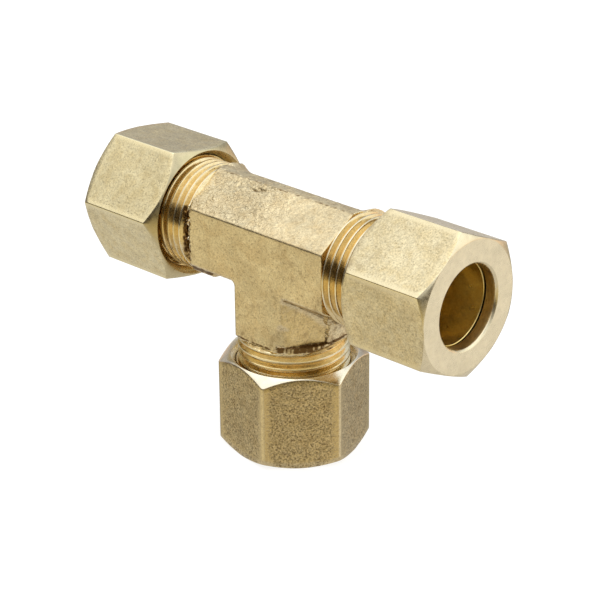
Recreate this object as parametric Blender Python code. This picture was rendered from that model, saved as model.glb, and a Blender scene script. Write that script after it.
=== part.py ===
"""Brass compression union tee for 1/2 in (12.7 mm) OD tube.

One forged and machined tee body, and at each of its three ends a loose
ferrule (compression sleeve) held by a hexagonal compression nut.
Metres, +Z up.  The run lies along X, the branch points down -Z, and the
origin is on the branch axis in the outer face of the branch nut.
"""
import math

import bmesh
import bpy
from mathutils import Matrix, Vector

MM = 0.001
TAU = 2.0 * math.pi

# ---------------------------------------------------------------- dimensions
# millimetres; every axial station s is counted outward from the point where
# the run axis crosses the branch axis
RUN_AXIS_HEIGHT = 33.19        # run axis above the branch nut's outer face

# forged body: hexagonal bar section, its top and bottom corners trimmed flat
BODY_FLAT = 8.20               # centre to flat
BODY_TRIM = 8.95               # centre to the trimmed parting-line strip
LEFT_SHOULDER = 14.40          # end of the hexagonal part, thread starts
RIGHT_SHOULDER = 13.70
BRANCH_SHOULDER = 14.30
SHOULDER_CHAMFER = 1.35        # axial length of the turned chamfer
CORNER_WEB = 3.2               # web in the corner between run and branch
WEB_THICKNESS = 2.6

# 11/16-20 thread
PITCH = 1.27
MAJOR_R = 8.73
MINOR_R = 7.95
THREAD_CLEARANCE = 0.25        # radial, nut thread to body thread
MOUTH = 23.60                  # end face of every threaded arm
MOUTH_CHAMFER_R = 7.90

# tube socket and passage
SOCKET_R = 6.45
SOCKET_STOP = 15.0
PASSAGE_R = 5.20
SEAT_R = 7.55                  # seat cone's mouth radius
SEAT_DEPTH = 1.40

# compression nut, 13/16 in across flats
NUT_FLAT = 10.31875            # centre to flat
NUT_LENGTH = 15.42
NUT_HOLE_R = 6.476
NUT_HOLE_WALL = 2.0            # length of the hole, its edge chamfer included
NUT_HOLE_CHAMFER = 0.30
NUT_CONE_R = 8.15              # inner end of the 45 degree ferrule cone
NUT_FACE_R = 10.25             # flat ring of the outer face
NUT_OUTER_CHAMFER = 0.96       # axial depth at the hexagon corners
NUT_INNER_FACE_R = 10.12       # edge ring of the inner end
NUT_INNER_CHAMFER = 1.43
NUT_COUNTERSINK = 1.25
NUT_THREAD_END = 9.9           # from the inner end

LEFT_NUT_FACE = 34.52          # outer face station of each nut
RIGHT_NUT_FACE = 33.95
BRANCH_NUT_FACE = RUN_AXIS_HEIGHT

# ferrule
FERRULE_BORE_R = 6.42
FERRULE_TIP_R = 6.70
FERRULE_R = 7.25
FERRULE_TAPER = 1.7
FERRULE_LENGTH = 7.64
FERRULE_BEHIND_FACE = 2.35     # its outer end, behind the nut's face

SEGMENTS = 32

# where the thread crests lie: (station, angle about the outward axis)
LEFT_CREST = (18.326, -90.0)
RIGHT_CREST = (13.700, 270.0)
BRANCH_CREST = (14.433, 45.0)

# turn of each nut's hexagon about its outward axis, degrees
LEFT_NUT_TURN = 37.15
RIGHT_NUT_TURN = 5.20
BRANCH_NUT_TURN = 12.08

BRASS = (0.78, 0.60, 0.30, 1.0)
BRASS_FORGED = (0.70, 0.55, 0.29, 1.0)
BRASS_DARK = (0.58, 0.44, 0.20, 1.0)


# ---------------------------------------------------------------- helpers
def clear_scene():
    for obj in list(bpy.data.objects):
        bpy.data.objects.remove(obj, do_unlink=True)


def material(name, colour, roughness):
    mat = bpy.data.materials.new(name)
    mat.use_nodes = True
    bsdf = mat.node_tree.nodes.get("Principled BSDF")
    bsdf.inputs["Base Color"].default_value = colour
    bsdf.inputs["Roughness"].default_value = roughness
    bsdf.inputs["Metallic"].default_value = 1.0
    mat.diffuse_color = colour
    return mat


def object_from(name, verts, faces):
    mesh = bpy.data.meshes.new(name)
    mesh.from_pydata([Vector(v) * MM for v in verts], [], faces)
    bm = bmesh.new()
    bm.from_mesh(mesh)
    bmesh.ops.remove_doubles(bm, verts=bm.verts, dist=1e-7)
    bmesh.ops.dissolve_degenerate(bm, edges=bm.edges, dist=1e-7)
    bmesh.ops.recalc_face_normals(bm, faces=bm.faces)
    bm.to_mesh(mesh)
    bm.free()
    obj = bpy.data.objects.new(name, mesh)
    bpy.context.scene.collection.objects.link(obj)
    return obj


def combine(target, tool, operation):
    """Apply one exact Boolean to target and drop the tool."""
    mod = target.modifiers.new("cut", "BOOLEAN")
    mod.operation = operation
    mod.solver = "EXACT"
    mod.object = tool
    bpy.context.view_layer.update()
    graph = bpy.context.evaluated_depsgraph_get()
    mesh = bpy.data.meshes.new_from_object(target.evaluated_get(graph))
    target.modifiers.clear()
    bm = bmesh.new()
    bm.from_mesh(mesh)
    bmesh.ops.remove_doubles(bm, verts=bm.verts, dist=5e-7)
    bmesh.ops.dissolve_degenerate(bm, edges=bm.edges, dist=5e-7)
    bm.to_mesh(mesh)
    bm.free()
    target.data = mesh
    bpy.data.objects.remove(tool, do_unlink=True)
    return target


def turned(name, profile, segments=SEGMENTS, phase=0.0):
    """Closed solid of revolution about Z from (station, radius) points."""
    verts, faces, rings = [], [], []
    for s, r in profile:
        ring = []
        for j in range(segments):
            a = TAU * (j + phase) / segments
            ring.append(len(verts))
            verts.append((r * math.cos(a), r * math.sin(a), s))
        rings.append(ring)
    for lower, upper in zip(rings, rings[1:]):
        for j in range(segments):
            k = (j + 1) % segments
            faces.append((lower[j], lower[k], upper[k], upper[j]))
    faces.append(tuple(reversed(rings[0])))
    faces.append(tuple(rings[-1]))
    return object_from(name, verts, faces)


def tube_of(name, profile, segments=SEGMENTS):
    """Ring solid: a closed (station, radius) loop turned about Z."""
    verts, faces = [], []
    n = len(profile)
    for s, r in profile:
        for j in range(segments):
            a = TAU * j / segments
            verts.append((r * math.cos(a), r * math.sin(a), s))
    for i in range(n):
        m = (i + 1) % n
        for j in range(segments):
            k = (j + 1) % segments
            faces.append((i * segments + j, i * segments + k,
                          m * segments + k, m * segments + j))
    return object_from(name, verts, faces)


def prism(name, corners, low, high):
    n = len(corners)
    verts = [(x, y, low) for x, y in corners] + [(x, y, high) for x, y in corners]
    faces = [(i, (i + 1) % n, n + (i + 1) % n, n + i) for i in range(n)]
    faces.append(tuple(reversed(range(n))))
    faces.append(tuple(range(n, 2 * n)))
    return object_from(name, verts, faces)


def screw_solid(name, start, end, crest, crest_r, root_r, start_r, end_r,
                end_slope, plug):
    """Threaded rod about Z, right-handed, between two clean end circles.

    crest is (station, angle in degrees) of a point on the crest helix.  Rows
    follow the helix, and are cut off square at start and end.  plug is a
    (station, radius) circle that closes the rod behind its start.
    """
    crest_s, crest_angle = crest
    index, verts, faces = {}, [], []

    def vert(s, r, j):
        key = (round(s, 6), j % SEGMENTS, round(r, 6))
        if key not in index:
            a = TAU * (j % SEGMENTS) / SEGMENTS
            index[key] = len(verts)
            verts.append((r * math.cos(a), r * math.sin(a), s))
        return index[key]

    def point(row, j):
        turns = j / SEGMENTS - crest_angle / 360.0
        s = crest_s + PITCH * (row / 2.0 + turns)
        if s <= start:
            return vert(start, start_r, j)
        if s >= end:
            return vert(end, end_r, j)
        r = crest_r if row % 2 == 0 else root_r
        r = min(r, end_r + (end - s) * end_slope)
        return vert(s, r, j)

    low = int(2 * (start - crest_s) / PITCH) - 8
    high = int(2 * (end - crest_s) / PITCH) + 8
    for row in range(low, high):
        for j in range(SEGMENTS):
            ring = []
            for v in (point(row, j), point(row, j + 1),
                      point(row + 1, j + 1), point(row + 1, j)):
                if v not in ring:
                    ring.append(v)
            if len(ring) >= 3:
                faces.append(tuple(ring))
    faces.append(tuple(vert(end, end_r, j) for j in range(SEGMENTS)))
    back = [vert(plug[0], plug[1], j) for j in range(SEGMENTS)]
    first = [vert(start, start_r, j) for j in range(SEGMENTS)]
    for j in range(SEGMENTS):
        k = (j + 1) % SEGMENTS
        faces.append((back[j], back[k], first[k], first[j]))
    faces.append(tuple(reversed(back)))
    return object_from(name, verts, faces)


# the three outward directions, as turns of a piece modelled along +Z
CENTRE = Matrix.Translation(Vector((0.0, 0.0, RUN_AXIS_HEIGHT * MM)))
TO_RIGHT = CENTRE @ Matrix.Rotation(math.radians(90.0), 4, "Y")
TO_LEFT = CENTRE @ Matrix.Rotation(math.radians(-90.0), 4, "Y")
TO_BRANCH = CENTRE @ Matrix.Rotation(math.radians(180.0), 4, "X")


# ---------------------------------------------------------------- the body
def body_section(flat=BODY_FLAT, trim=BODY_TRIM):
    """Hexagon with flats at +-Y, and the corners at +-X trimmed flat."""
    half = flat * math.tan(math.radians(30.0))
    corner = flat / math.cos(math.radians(30.0))
    strip = (corner - trim) / math.tan(math.radians(30.0))
    return [(trim, -strip), (trim, strip), (half, flat),
            (-half, flat), (-trim, strip), (-trim, -strip),
            (-half, -flat), (half, -flat)]


def stem_limit(low_end, high_end):
    """Turned envelope that chamfers a hexagonal stem's corners; an end
    given as None is left square."""
    corner = BODY_FLAT / math.cos(math.radians(30.0))
    wide = corner + 2.0
    profile = []
    if low_end is None:
        profile += [(-1.0, wide)]
    else:
        profile += [(low_end - 0.4, BODY_FLAT - 0.25),
                    (low_end + SHOULDER_CHAMFER, corner + 0.1),
                    (low_end + SHOULDER_CHAMFER + 1.0, wide)]
    profile += [(high_end - SHOULDER_CHAMFER - 1.0, wide),
                (high_end - SHOULDER_CHAMFER, corner + 0.1),
                (high_end + 0.4, BODY_FLAT - 0.25)]
    return turned("chamfer_limit", profile, segments=48, phase=0.31)


def spigot(shoulder, crest, place):
    """Threaded end of one arm, rising out of the stem behind it."""
    rod = screw_solid("spigot", shoulder + 0.35, MOUTH, crest, MAJOR_R,
                      MINOR_R, MAJOR_R, MOUTH_CHAMFER_R, 1.0,
                      (shoulder - 0.35, BODY_FLAT - 0.2))
    rod.data.transform(place)
    return rod


def tube_way(low_end, high_end):
    """Passage, tube sockets and seat cones along one line, as a cutter."""
    outward = [(SOCKET_STOP, PASSAGE_R), (SOCKET_STOP, SOCKET_R),
               (MOUTH - SEAT_DEPTH, SOCKET_R), (MOUTH, SEAT_R),
               (MOUTH + 1.0, SEAT_R + 0.8)]
    if low_end:
        profile = [(-s, r) for s, r in reversed(outward)]
    else:
        profile = [(0.0, PASSAGE_R)]
    return turned("tube_way", profile + outward, phase=0.5)


def web(name, side):
    """Small web in the corner under the run, on one side of the branch."""
    low = BODY_TRIM - 1.2
    corners = [(side * low, -low), (side * (BODY_TRIM + CORNER_WEB + 0.6), -low),
               (side * (BODY_TRIM + 0.3 * CORNER_WEB),
                -BODY_TRIM - 0.3 * CORNER_WEB),
               (side * low, -BODY_TRIM - CORNER_WEB - 0.6)]
    piece = prism(name, corners, -WEB_THICKNESS / 2, WEB_THICKNESS / 2)
    piece.data.transform(CENTRE @ Matrix.Rotation(math.radians(90.0), 4, "X"))
    return piece


def tee_body():
    run = prism("tee_body", body_section(), -LEFT_SHOULDER, RIGHT_SHOULDER)
    combine(run, stem_limit(-LEFT_SHOULDER, RIGHT_SHOULDER), "INTERSECT")
    run.data.transform(TO_RIGHT)
    stem = prism("branch_stem", body_section(BODY_FLAT - 0.03, BODY_TRIM - 0.03),
                 0.0, BRANCH_SHOULDER)
    combine(stem, stem_limit(None, BRANCH_SHOULDER), "INTERSECT")
    stem.data.transform(TO_BRANCH)
    combine(run, stem, "UNION")
    for side in (-1, 1):
        combine(run, web("web", side), "UNION")
    for shoulder, crest, place in (
            (RIGHT_SHOULDER, RIGHT_CREST, TO_RIGHT),
            (LEFT_SHOULDER, LEFT_CREST, TO_LEFT),
            (BRANCH_SHOULDER, BRANCH_CREST, TO_BRANCH)):
        combine(run, spigot(shoulder, crest, place), "UNION")
    for both, place in ((True, TO_RIGHT), (False, TO_BRANCH)):
        cutter = tube_way(both, True)
        cutter.data.transform(place)
        combine(run, cutter, "DIFFERENCE")
    return run


# ---------------------------------------------------------------- nuts
def nut(name, face, crest, turn, place):
    """Hexagonal compression nut; face is the station of its outer face."""
    inner = face - NUT_LENGTH
    corner = NUT_FLAT / math.cos(math.radians(30.0))
    corners = [(corner * math.cos(math.radians(turn + 60.0 * i)),
                corner * math.sin(math.radians(turn + 60.0 * i)))
               for i in range(6)]
    blank = prism(name, corners, inner - 1.0, face + 1.0)
    out_slope = NUT_OUTER_CHAMFER / (corner - NUT_FACE_R)
    in_slope = NUT_INNER_CHAMFER / (corner - NUT_INNER_FACE_R)
    reach = corner + 1.0
    limit = turned("chamfer_limit",
                   [(inner, NUT_INNER_FACE_R),
                    (inner + in_slope * (reach - NUT_INNER_FACE_R), reach),
                    (face - out_slope * (reach - NUT_FACE_R), reach),
                    (face, NUT_FACE_R)], segments=48)
    combine(blank, limit, "INTERSECT")
    # countersink, thread, ferrule cone and tube hole
    root = MINOR_R + THREAD_CLEARANCE
    crown = MAJOR_R + THREAD_CLEARANCE
    thread_start = inner + NUT_COUNTERSINK
    thread_end = inner + NUT_THREAD_END
    tap = screw_solid("tap", thread_start, thread_end, crest, crown, root,
                      crown, root, 1.0, (inner - 0.2, NUT_INNER_FACE_R + 0.06))
    combine(blank, tap, "DIFFERENCE")
    hole_end = face - NUT_HOLE_WALL
    cavity = turned("cavity",
                    [(thread_end - 0.6, NUT_CONE_R),
                     (hole_end - (NUT_CONE_R - NUT_HOLE_R), NUT_CONE_R),
                     (hole_end, NUT_HOLE_R),
                     (face - NUT_HOLE_CHAMFER, NUT_HOLE_R),
                     (face + 1.0, NUT_HOLE_R + NUT_HOLE_CHAMFER + 1.0)],
                    phase=0.5)
    combine(blank, cavity, "DIFFERENCE")
    blank.data.transform(place)
    return blank


# ---------------------------------------------------------------- ferrules
def ferrule(name, face, place):
    """Barrel-shaped compression sleeve, tapered at both ends."""
    end = face - FERRULE_BEHIND_FACE
    start = end - FERRULE_LENGTH
    ring = tube_of(name, [
        (start, FERRULE_BORE_R), (start, FERRULE_TIP_R),
        (start + FERRULE_TAPER, FERRULE_R), (end - FERRULE_TAPER, FERRULE_R),
        (end, FERRULE_TIP_R), (end, FERRULE_BORE_R)])
    ring.data.transform(place)
    return ring


def put_origin(obj, place, station):
    """Move an object's origin onto its joint axis, leaving its shape."""
    spot = place @ Vector((0.0, 0.0, station * MM))
    obj.data.transform(Matrix.Translation(-spot))
    obj.location = spot


def finish(obj, mat):
    bm = bmesh.new()
    bm.from_mesh(obj.data)
    bmesh.ops.remove_doubles(bm, verts=bm.verts, dist=2e-6)
    bmesh.ops.dissolve_degenerate(bm, edges=bm.edges, dist=1e-6)
    bmesh.ops.triangulate(bm, faces=bm.faces)
    bmesh.ops.recalc_face_normals(bm, faces=bm.faces)
    bm.to_mesh(obj.data)
    bm.free()
    obj.data.materials.clear()
    obj.data.materials.append(mat)
    obj.data.shade_smooth()
    obj.data.set_sharp_from_angle(angle=math.radians(25.0))


def build():
    clear_scene()
    forged = material("forged_brass", BRASS_FORGED, 0.42)
    turned_brass = material("machined_brass", BRASS, 0.28)
    sleeve = material("sleeve_brass", BRASS_DARK, 0.25)

    finish(tee_body(), forged)
    bpy.data.objects["tee_body"].name = "tee_body"

    ends = (
        ("left_run", LEFT_NUT_FACE, LEFT_CREST, LEFT_NUT_TURN, TO_LEFT),
        ("right_run", RIGHT_NUT_FACE, RIGHT_CREST, RIGHT_NUT_TURN, TO_RIGHT),
        ("branch", BRANCH_NUT_FACE, BRANCH_CREST, BRANCH_NUT_TURN, TO_BRANCH),
    )
    for prefix, face, crest, turn, place in ends:
        piece = nut(prefix + "_nut", face, crest, turn, place)
        finish(piece, turned_brass)
        put_origin(piece, place, face)
        piece = ferrule(prefix + "_ferrule", face, place)
        finish(piece, sleeve)
        put_origin(piece, place, face - FERRULE_BEHIND_FACE)


if __name__ == "__main__":
    build()
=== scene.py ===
import math

import bmesh
import bpy
import numpy as np
from mathutils import Matrix, Vector


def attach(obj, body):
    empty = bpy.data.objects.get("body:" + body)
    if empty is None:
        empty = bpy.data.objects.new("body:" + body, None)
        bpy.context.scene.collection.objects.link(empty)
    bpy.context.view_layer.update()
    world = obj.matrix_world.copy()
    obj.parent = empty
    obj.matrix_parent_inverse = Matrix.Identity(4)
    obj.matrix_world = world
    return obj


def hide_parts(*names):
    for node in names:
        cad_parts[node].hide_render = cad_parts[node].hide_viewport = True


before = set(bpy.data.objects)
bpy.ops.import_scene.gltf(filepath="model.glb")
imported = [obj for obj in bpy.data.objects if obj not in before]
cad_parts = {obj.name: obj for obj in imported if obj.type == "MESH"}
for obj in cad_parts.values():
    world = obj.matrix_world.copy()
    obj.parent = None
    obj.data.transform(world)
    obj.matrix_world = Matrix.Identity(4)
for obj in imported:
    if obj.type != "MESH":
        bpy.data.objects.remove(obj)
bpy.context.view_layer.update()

# ------------------------------------------------------------------ sizes
# millimetres, the same frame and the same driving sizes as the CAD model
MM = 0.001
TAU = 2.0 * math.pi
AXIS_Z = 33.19
PITCH = 1.27
MAJOR, MINOR = 8.73, 7.95
MOUTH = 23.60
SOCKET_R, SOCKET_STOP, PASSAGE_R = 6.45, 15.0, 5.20
SEAT_R, SEAT_DEPTH = 7.55, 1.40
FLAT, TRIM = 8.20, 8.95
NUT_FLAT, NUT_LENGTH = 10.31875, 15.42
NUT_HOLE_R, NUT_HOLE_WALL, NUT_CONE_R = 6.476, 2.0, 8.15
NUT_HOLE_CHAMFER = 0.30
NUT_FACE_R, NUT_OUT = 10.25, 0.96
NUT_IN_R, NUT_IN = 10.12, 1.43
NUT_SINK, NUT_THREAD_END, NUT_CLEAR = 1.25, 9.9, 0.25
FER_BORE, FER_TIP, FER_R, FER_TAPER, FER_LEN, FER_BACK = 6.42, 6.70, 7.25, 1.7, 7.64, 2.35

CENTRE = Matrix.Translation(Vector((0.0, 0.0, AXIS_Z * MM)))
PLACE = {
    "right": CENTRE @ Matrix.Rotation(math.radians(90.0), 4, "Y"),
    "left": CENTRE @ Matrix.Rotation(math.radians(-90.0), 4, "Y"),
    "branch": CENTRE @ Matrix.Rotation(math.radians(180.0), 4, "X"),
}
CREST = {"left": (18.326, -90.0), "right": (13.610, 270.0), "branch": (14.433, 45.0)}
FACE = {"left": 34.52, "right": 33.95, "branch": AXIS_Z}
TURN = {"left": 37.15, "right": 5.20, "branch": 12.08}
EDGE = {"left": 0.26, "right": 0.24, "branch": 0.75}


# ------------------------------------------------------------------ numeric noise
def lattice(ix, iy, iz, seed):
    n = (ix.astype(np.int64) * 374761393 + iy.astype(np.int64) * 668265263
         + iz.astype(np.int64) * 2147483629 + seed * 974634777) & 0xFFFFFFFF
    n = ((n ^ (n >> 13)) * 1274126177) & 0xFFFFFFFF
    n = ((n ^ (n >> 16)) * 2246822519) & 0xFFFFFFFF
    n = n ^ (n >> 15)
    return (n & 0xFFFFFF).astype(np.float64) / 8388607.5 - 1.0


def noise(x, y, z, seed):
    """Smooth value noise in -1..1 with unit cells."""
    fx, fy, fz = np.floor(x), np.floor(y), np.floor(z)
    tx, ty, tz = x - fx, y - fy, z - fz
    tx, ty, tz = (t * t * t * (t * (6 * t - 15) + 10) for t in (tx, ty, tz))
    out = 0.0
    for dx in (0, 1):
        wx = tx if dx else 1 - tx
        for dy in (0, 1):
            wy = ty if dy else 1 - ty
            for dz in (0, 1):
                wz = tz if dz else 1 - tz
                out = out + wx * wy * wz * lattice(fx + dx, fy + dy, fz + dz, seed)
    return out


def fractal(x, y, z, size, octaves, seed, gain=0.5):
    total, amp, norm = 0.0, 1.0, 0.0
    for i in range(octaves):
        total = total + amp * noise(x / size + 7.3 * i, y / size + 1.7 * i, z / size - 4.1 * i, seed + i)
        norm += amp
        amp *= gain
        size *= 0.5
    return total / norm


def smax(a, b, k):
    h = np.clip(0.5 + 0.5 * (a - b) / k, 0.0, 1.0)
    return b + (a - b) * h + k * h * (1.0 - h)


def smin(a, b, k):
    return -smax(-a, -b, k)


def step(a, b, t):
    u = np.clip((t - a) / (b - a), 0.0, 1.0)
    return u * u * (3.0 - 2.0 * u)


# ------------------------------------------------------------------ the forging
def blob(x, y, z, p, size):
    return np.exp(-((x - p[0]) / size[0]) ** 2 - ((y - p[1]) / size[1]) ** 2 - ((z - p[2]) / size[2]) ** 2)


def forging_plain(x, y, z):
    """Distance-like field of the forged tee, before its surface texture."""
    ay, ax, az = np.abs(y), np.abs(x), np.abs(z)
    c, s = math.cos(math.radians(30.0)), 0.5
    run = smax(s * ay + c * az - FLAT, az - TRIM, 0.10)
    br = smax(s * ay + c * ax - FLAT, ax - TRIM, 0.10)
    # trimmed flash web in the corner between run and branch
    torn = np.zeros_like(x)
    at = (x > 7.0) & (z < -8.0) & (z > -14.5)
    torn[at] = 0.75 * fractal(x[at] * 0.2, y[at] * 0.2, z[at], 0.95, 3, 171, 0.65)
    web = np.maximum(np.maximum(x - TRIM, np.abs(y - 0.35) - 2.45 - torn), np.maximum(5.0 - x, -z - 13.6))
    # the branch's hexagon stops short of a turned collar
    stop = -z - 13.90 + 0.72 * step(2.6, 5.2, x)
    low = z < -12.4
    stop[low] += 0.26 * fractal(x[low], y[low], z[low] * 0.3, 0.62, 2, 151, 0.65)
    br = np.maximum(np.maximum(np.minimum(br, web), z), stop)
    rb = np.hypot(x, y)
    br = np.minimum(br, np.maximum(rb - 8.98, np.maximum(z + 13.2, -z - 14.42)))
    depth = np.clip(1.0 - ay / FLAT, 0.0, 1.0)
    w = smin(run, br, 0.9 + 3.0 * depth * depth)
    # the corner beside the branch's right face is well rounded
    soft = 0.30 + 1.3 * step(-9.0, -10.5, z) * step(3.0, 4.5, x) * (y < 0) * (z > -13.1)
    d = smax(w, ay - FLAT, soft)
    # both ends of the run flare on the back of the parting line, towards a collar,
    # and the left end on its lower front as well
    r = np.hypot(y, z)
    th = np.degrees(np.arctan2(z, y))
    top = step(98.0, 66.0, th) * step(8.0, 40.0, th)
    horn = step(98.0, 74.0, th) * step(37.0, 62.0, th)
    under = step(-153.0, -148.0, th) * step(-126.0, -141.0, th)
    rise = np.clip(-x - 12.1, 0.0, 2.9)
    lf = 8.12 + horn * (0.10 + 0.13 * rise) * rise + 1.20 * under * step(-8.9, -10.4, x)
    rf = 8.12 + 0.50 * top * np.clip(x - 11.0, 0.0, 2.25)
    flare = np.where(x < 0, lf, rf)
    return smin(d, np.maximum(r - flare, np.abs(x) - 15.2), 0.16)


def end_cuts(x, y, z):
    """Turned cuts that end the forging on its three arms."""
    r, rb = np.hypot(y, z), np.hypot(x, y)
    th = np.degrees(np.arctan2(z, y))
    back = step(146.0, 140.0, th) * step(-40.0, 10.0, th)
    over = step(100.0, 74.0, th) * step(-40.0, 10.0, th)
    left = np.maximum(0.7071 * ((r - 9.60) + (-x - 14.00 - 1.00 * back)), -x - 14.12 - 0.66 * back)
    right = smax(0.7071 * ((r - 9.62) + (x - 12.95 - 0.5 * over)), x - 12.97 - 0.35 * over, 0.12)
    low = np.maximum(0.7071 * ((rb - 9.50) + (-z - 14.0)), -z - 14.40)
    return np.maximum(np.maximum(left, right), low) + 0.13 * noise(x / 3.1, y / 3.1, z / 3.1, 71)


def forging(x, y, z, parts=False):
    d = forging_plain(x, y, z)
    near = np.abs(d) < 0.62
    xn, yn, zn, pn = x[near], y[near], z[near], d[near]
    c = math.cos(math.radians(30.0))
    # how much each place shows the wrinkled skin of the forging
    slope = step(7.3, 8.0, 0.5 * np.abs(yn) + c * np.abs(zn)) * step(8.3, 7.7, np.abs(yn)) * step(-9.0, -5.5, zn)
    side = 0.45 + 0.75 * step(6.0, -4.0, xn)
    swirl = fractal(xn + 0.8 * zn, yn, zn - 0.5 * xn, 1.2, 3, 11, 0.62)
    ridges = np.abs(fractal(xn * 0.75 + 0.55 * yn, yn * 1.25 - 0.3 * xn, zn, 0.85, 2, 23, 0.55))
    fine = fractal(xn, yn, zn, 0.46, 2, 37, 0.6)
    broad = noise(xn / 4.5, yn / 4.5, zn / 4.5, 51)
    crest = np.clip(0.20 - ridges, -0.12, 0.20)
    calm = 1.0 - 0.75 * step(8.4, 8.7, np.hypot(yn, zn)) * (yn > 0.9)
    t = calm * (0.056 * side * slope * (0.5 * swirl + 2.4 * crest) + 0.008 * fine * (0.5 + 2.0 * slope)) + 0.016 * broad
    # trimming marks on the corner web, a lap and nicks along the trimmed edge
    weby = step(8.7, 8.9, xn) * step(-8.6, -9.2, zn)
    dents = np.zeros_like(xn)
    t = t + 0.07 * weby * fractal(xn, yn * 1.6, zn, 0.7, 2, 101, 0.6)
    for p, size, deep in (((-5.65, -2.22, 8.20), (0.95, 0.16, 0.60), 0.42), ((-4.5, -1.90, 8.40), (0.75, 0.12, 0.5), 0.36),
                          ((-7.2, -1.55, 8.5), (1.3, 0.22, 0.3), 0.10), ((-2.6, -1.25, 8.78), (1.5, 0.14, 0.2), 0.12),
                          ((-12.9, 1.35, 9.0), (0.70, 0.12, 0.40), 0.16), ((-8.75, -2.5, 8.03), (0.5, 0.5, 0.4), 0.07),
                          ((-12.4, -1.2, 8.85), (0.8, 0.16, 0.2), 0.14), ((8.95, -1.9, -10.2), (0.4, 0.16, 0.45), 0.20),
                          ((8.95, -2.3, -11.4), (0.4, 0.18, 0.7), 0.18), ((8.9, 2.6, -12.2), (0.4, 0.5, 0.7), 0.22)):
        mark = blob(xn, yn, zn, p, size)
        t = t - deep * mark
        dents = np.maximum(dents, min(1.0, 3.2 * deep) * mark)
    # ragged borders of the trimmed strip and of the web
    rag = fractal(xn, yn, zn, 0.55, 2, 131, 0.6)
    strip = np.exp(-((np.abs(yn) - 0.95) / 0.22) ** 2) * step(8.6, 8.8, zn)
    t = t + 0.05 * strip * rag + 0.10 * rag * np.exp(-((yn + 2.1) / 0.25) ** 2) * weby
    lip = step(-4.5, -5.1, zn) * step(-7.0, -7.6, yn) * step(-8.0, -8.8, xn)
    t = t + 0.10 * lip * fractal(xn, yn, zn, 0.8, 2, 139, 0.6)
    dn = pn - t
    # the end cuts are chipped and torn where they leave the skin
    r = np.hypot(yn, zn)
    rb = np.hypot(xn, yn)
    ends = end_cuts(xn, yn, zn)
    chip = step(-13.0, -13.6, xn) * step(-3.0, -6.0, yn) * step(5.2, 4.4, zn) * step(-4.4, -3.6, zn)
    torn = (0.35 + 1.5 * chip + 0.4 * step(-11.5, -12.5, zn) + 0.7 * step(-13.0, -13.8, xn) * step(3.0, 5.0, zn))
    jag = fractal(xn * 1.2, yn, zn, 0.50, 3, 67, 0.65)
    edge = np.exp(-((dn - ends) / 0.30) ** 2)
    near_cut = np.exp(-(np.minimum(dn - ends, 0.0) / 0.25) ** 2)
    dn = dn + (0.02 + 0.15 * torn * jag) * edge
    ends = ends + 0.035 * torn * jag * near_cut
    bore = 5.32 - np.minimum(r, np.where(zn < 0, rb, 99.0))
    if parts:
        # painted shade, darkened brown, under the end of the branch's hexagon, along its ragged bottom edge, in the
        # dents and along the front edge of the trimmed top strip; the chipped left end is darker partly as torn metal
        # and partly as painted shade, and the lower lip at the left end is darkened too
        stripe = fractal(xn, yn, zn * 0.22, 0.42, 2, 163, 0.65)
        ragged = np.exp(-((zn + 13.9 - 0.72 * step(2.6, 5.2, xn)) / 0.22) ** 2) * (rb < 9.6)
        shade = (step(-12.95, -13.15, zn) * step(-14.25, -13.95, zn) * step(3.0, 4.4, xn) * step(9.0, 8.4, xn)
                 * (yn < 0) * (0.72 + 1.5 * stripe))
        shade = np.maximum(shade, 0.75 * ragged + 0.5 * stripe * ragged)
        shade = np.maximum(shade, lip * (0.95 + 0.5 * jag))
        shade = np.maximum(shade, chip * step(13.95, 14.05, -xn) * (1.0 + 0.8 * jag))
        shade = np.maximum(np.maximum(shade, 0.5 * strip * (yn < 0)), step(0.42, 0.80, dents))
        return near, dn, ends, bore, shade, slope * side, weby
    out = d.copy()
    out[near] = np.maximum(np.maximum(dn, ends), bore)
    far = ~near
    xf, yf, zf = x[far], y[far], z[far]
    rf, rbf = np.hypot(yf, zf), np.hypot(xf, yf)
    cut = np.maximum(xf - 12.0, np.maximum(-xf - 13.0, -zf - 13.2))
    tip = (cut > 0.0) & (d[far] < 0.0)
    cut[tip] = end_cuts(xf[tip], yf[tip], zf[tip])
    cut[~tip] = -9.0
    out[far] = np.maximum.reduce([d[far], cut, 5.32 - np.minimum(rf, np.where(zf < 0, rbf, 99.0))])
    return out


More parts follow.
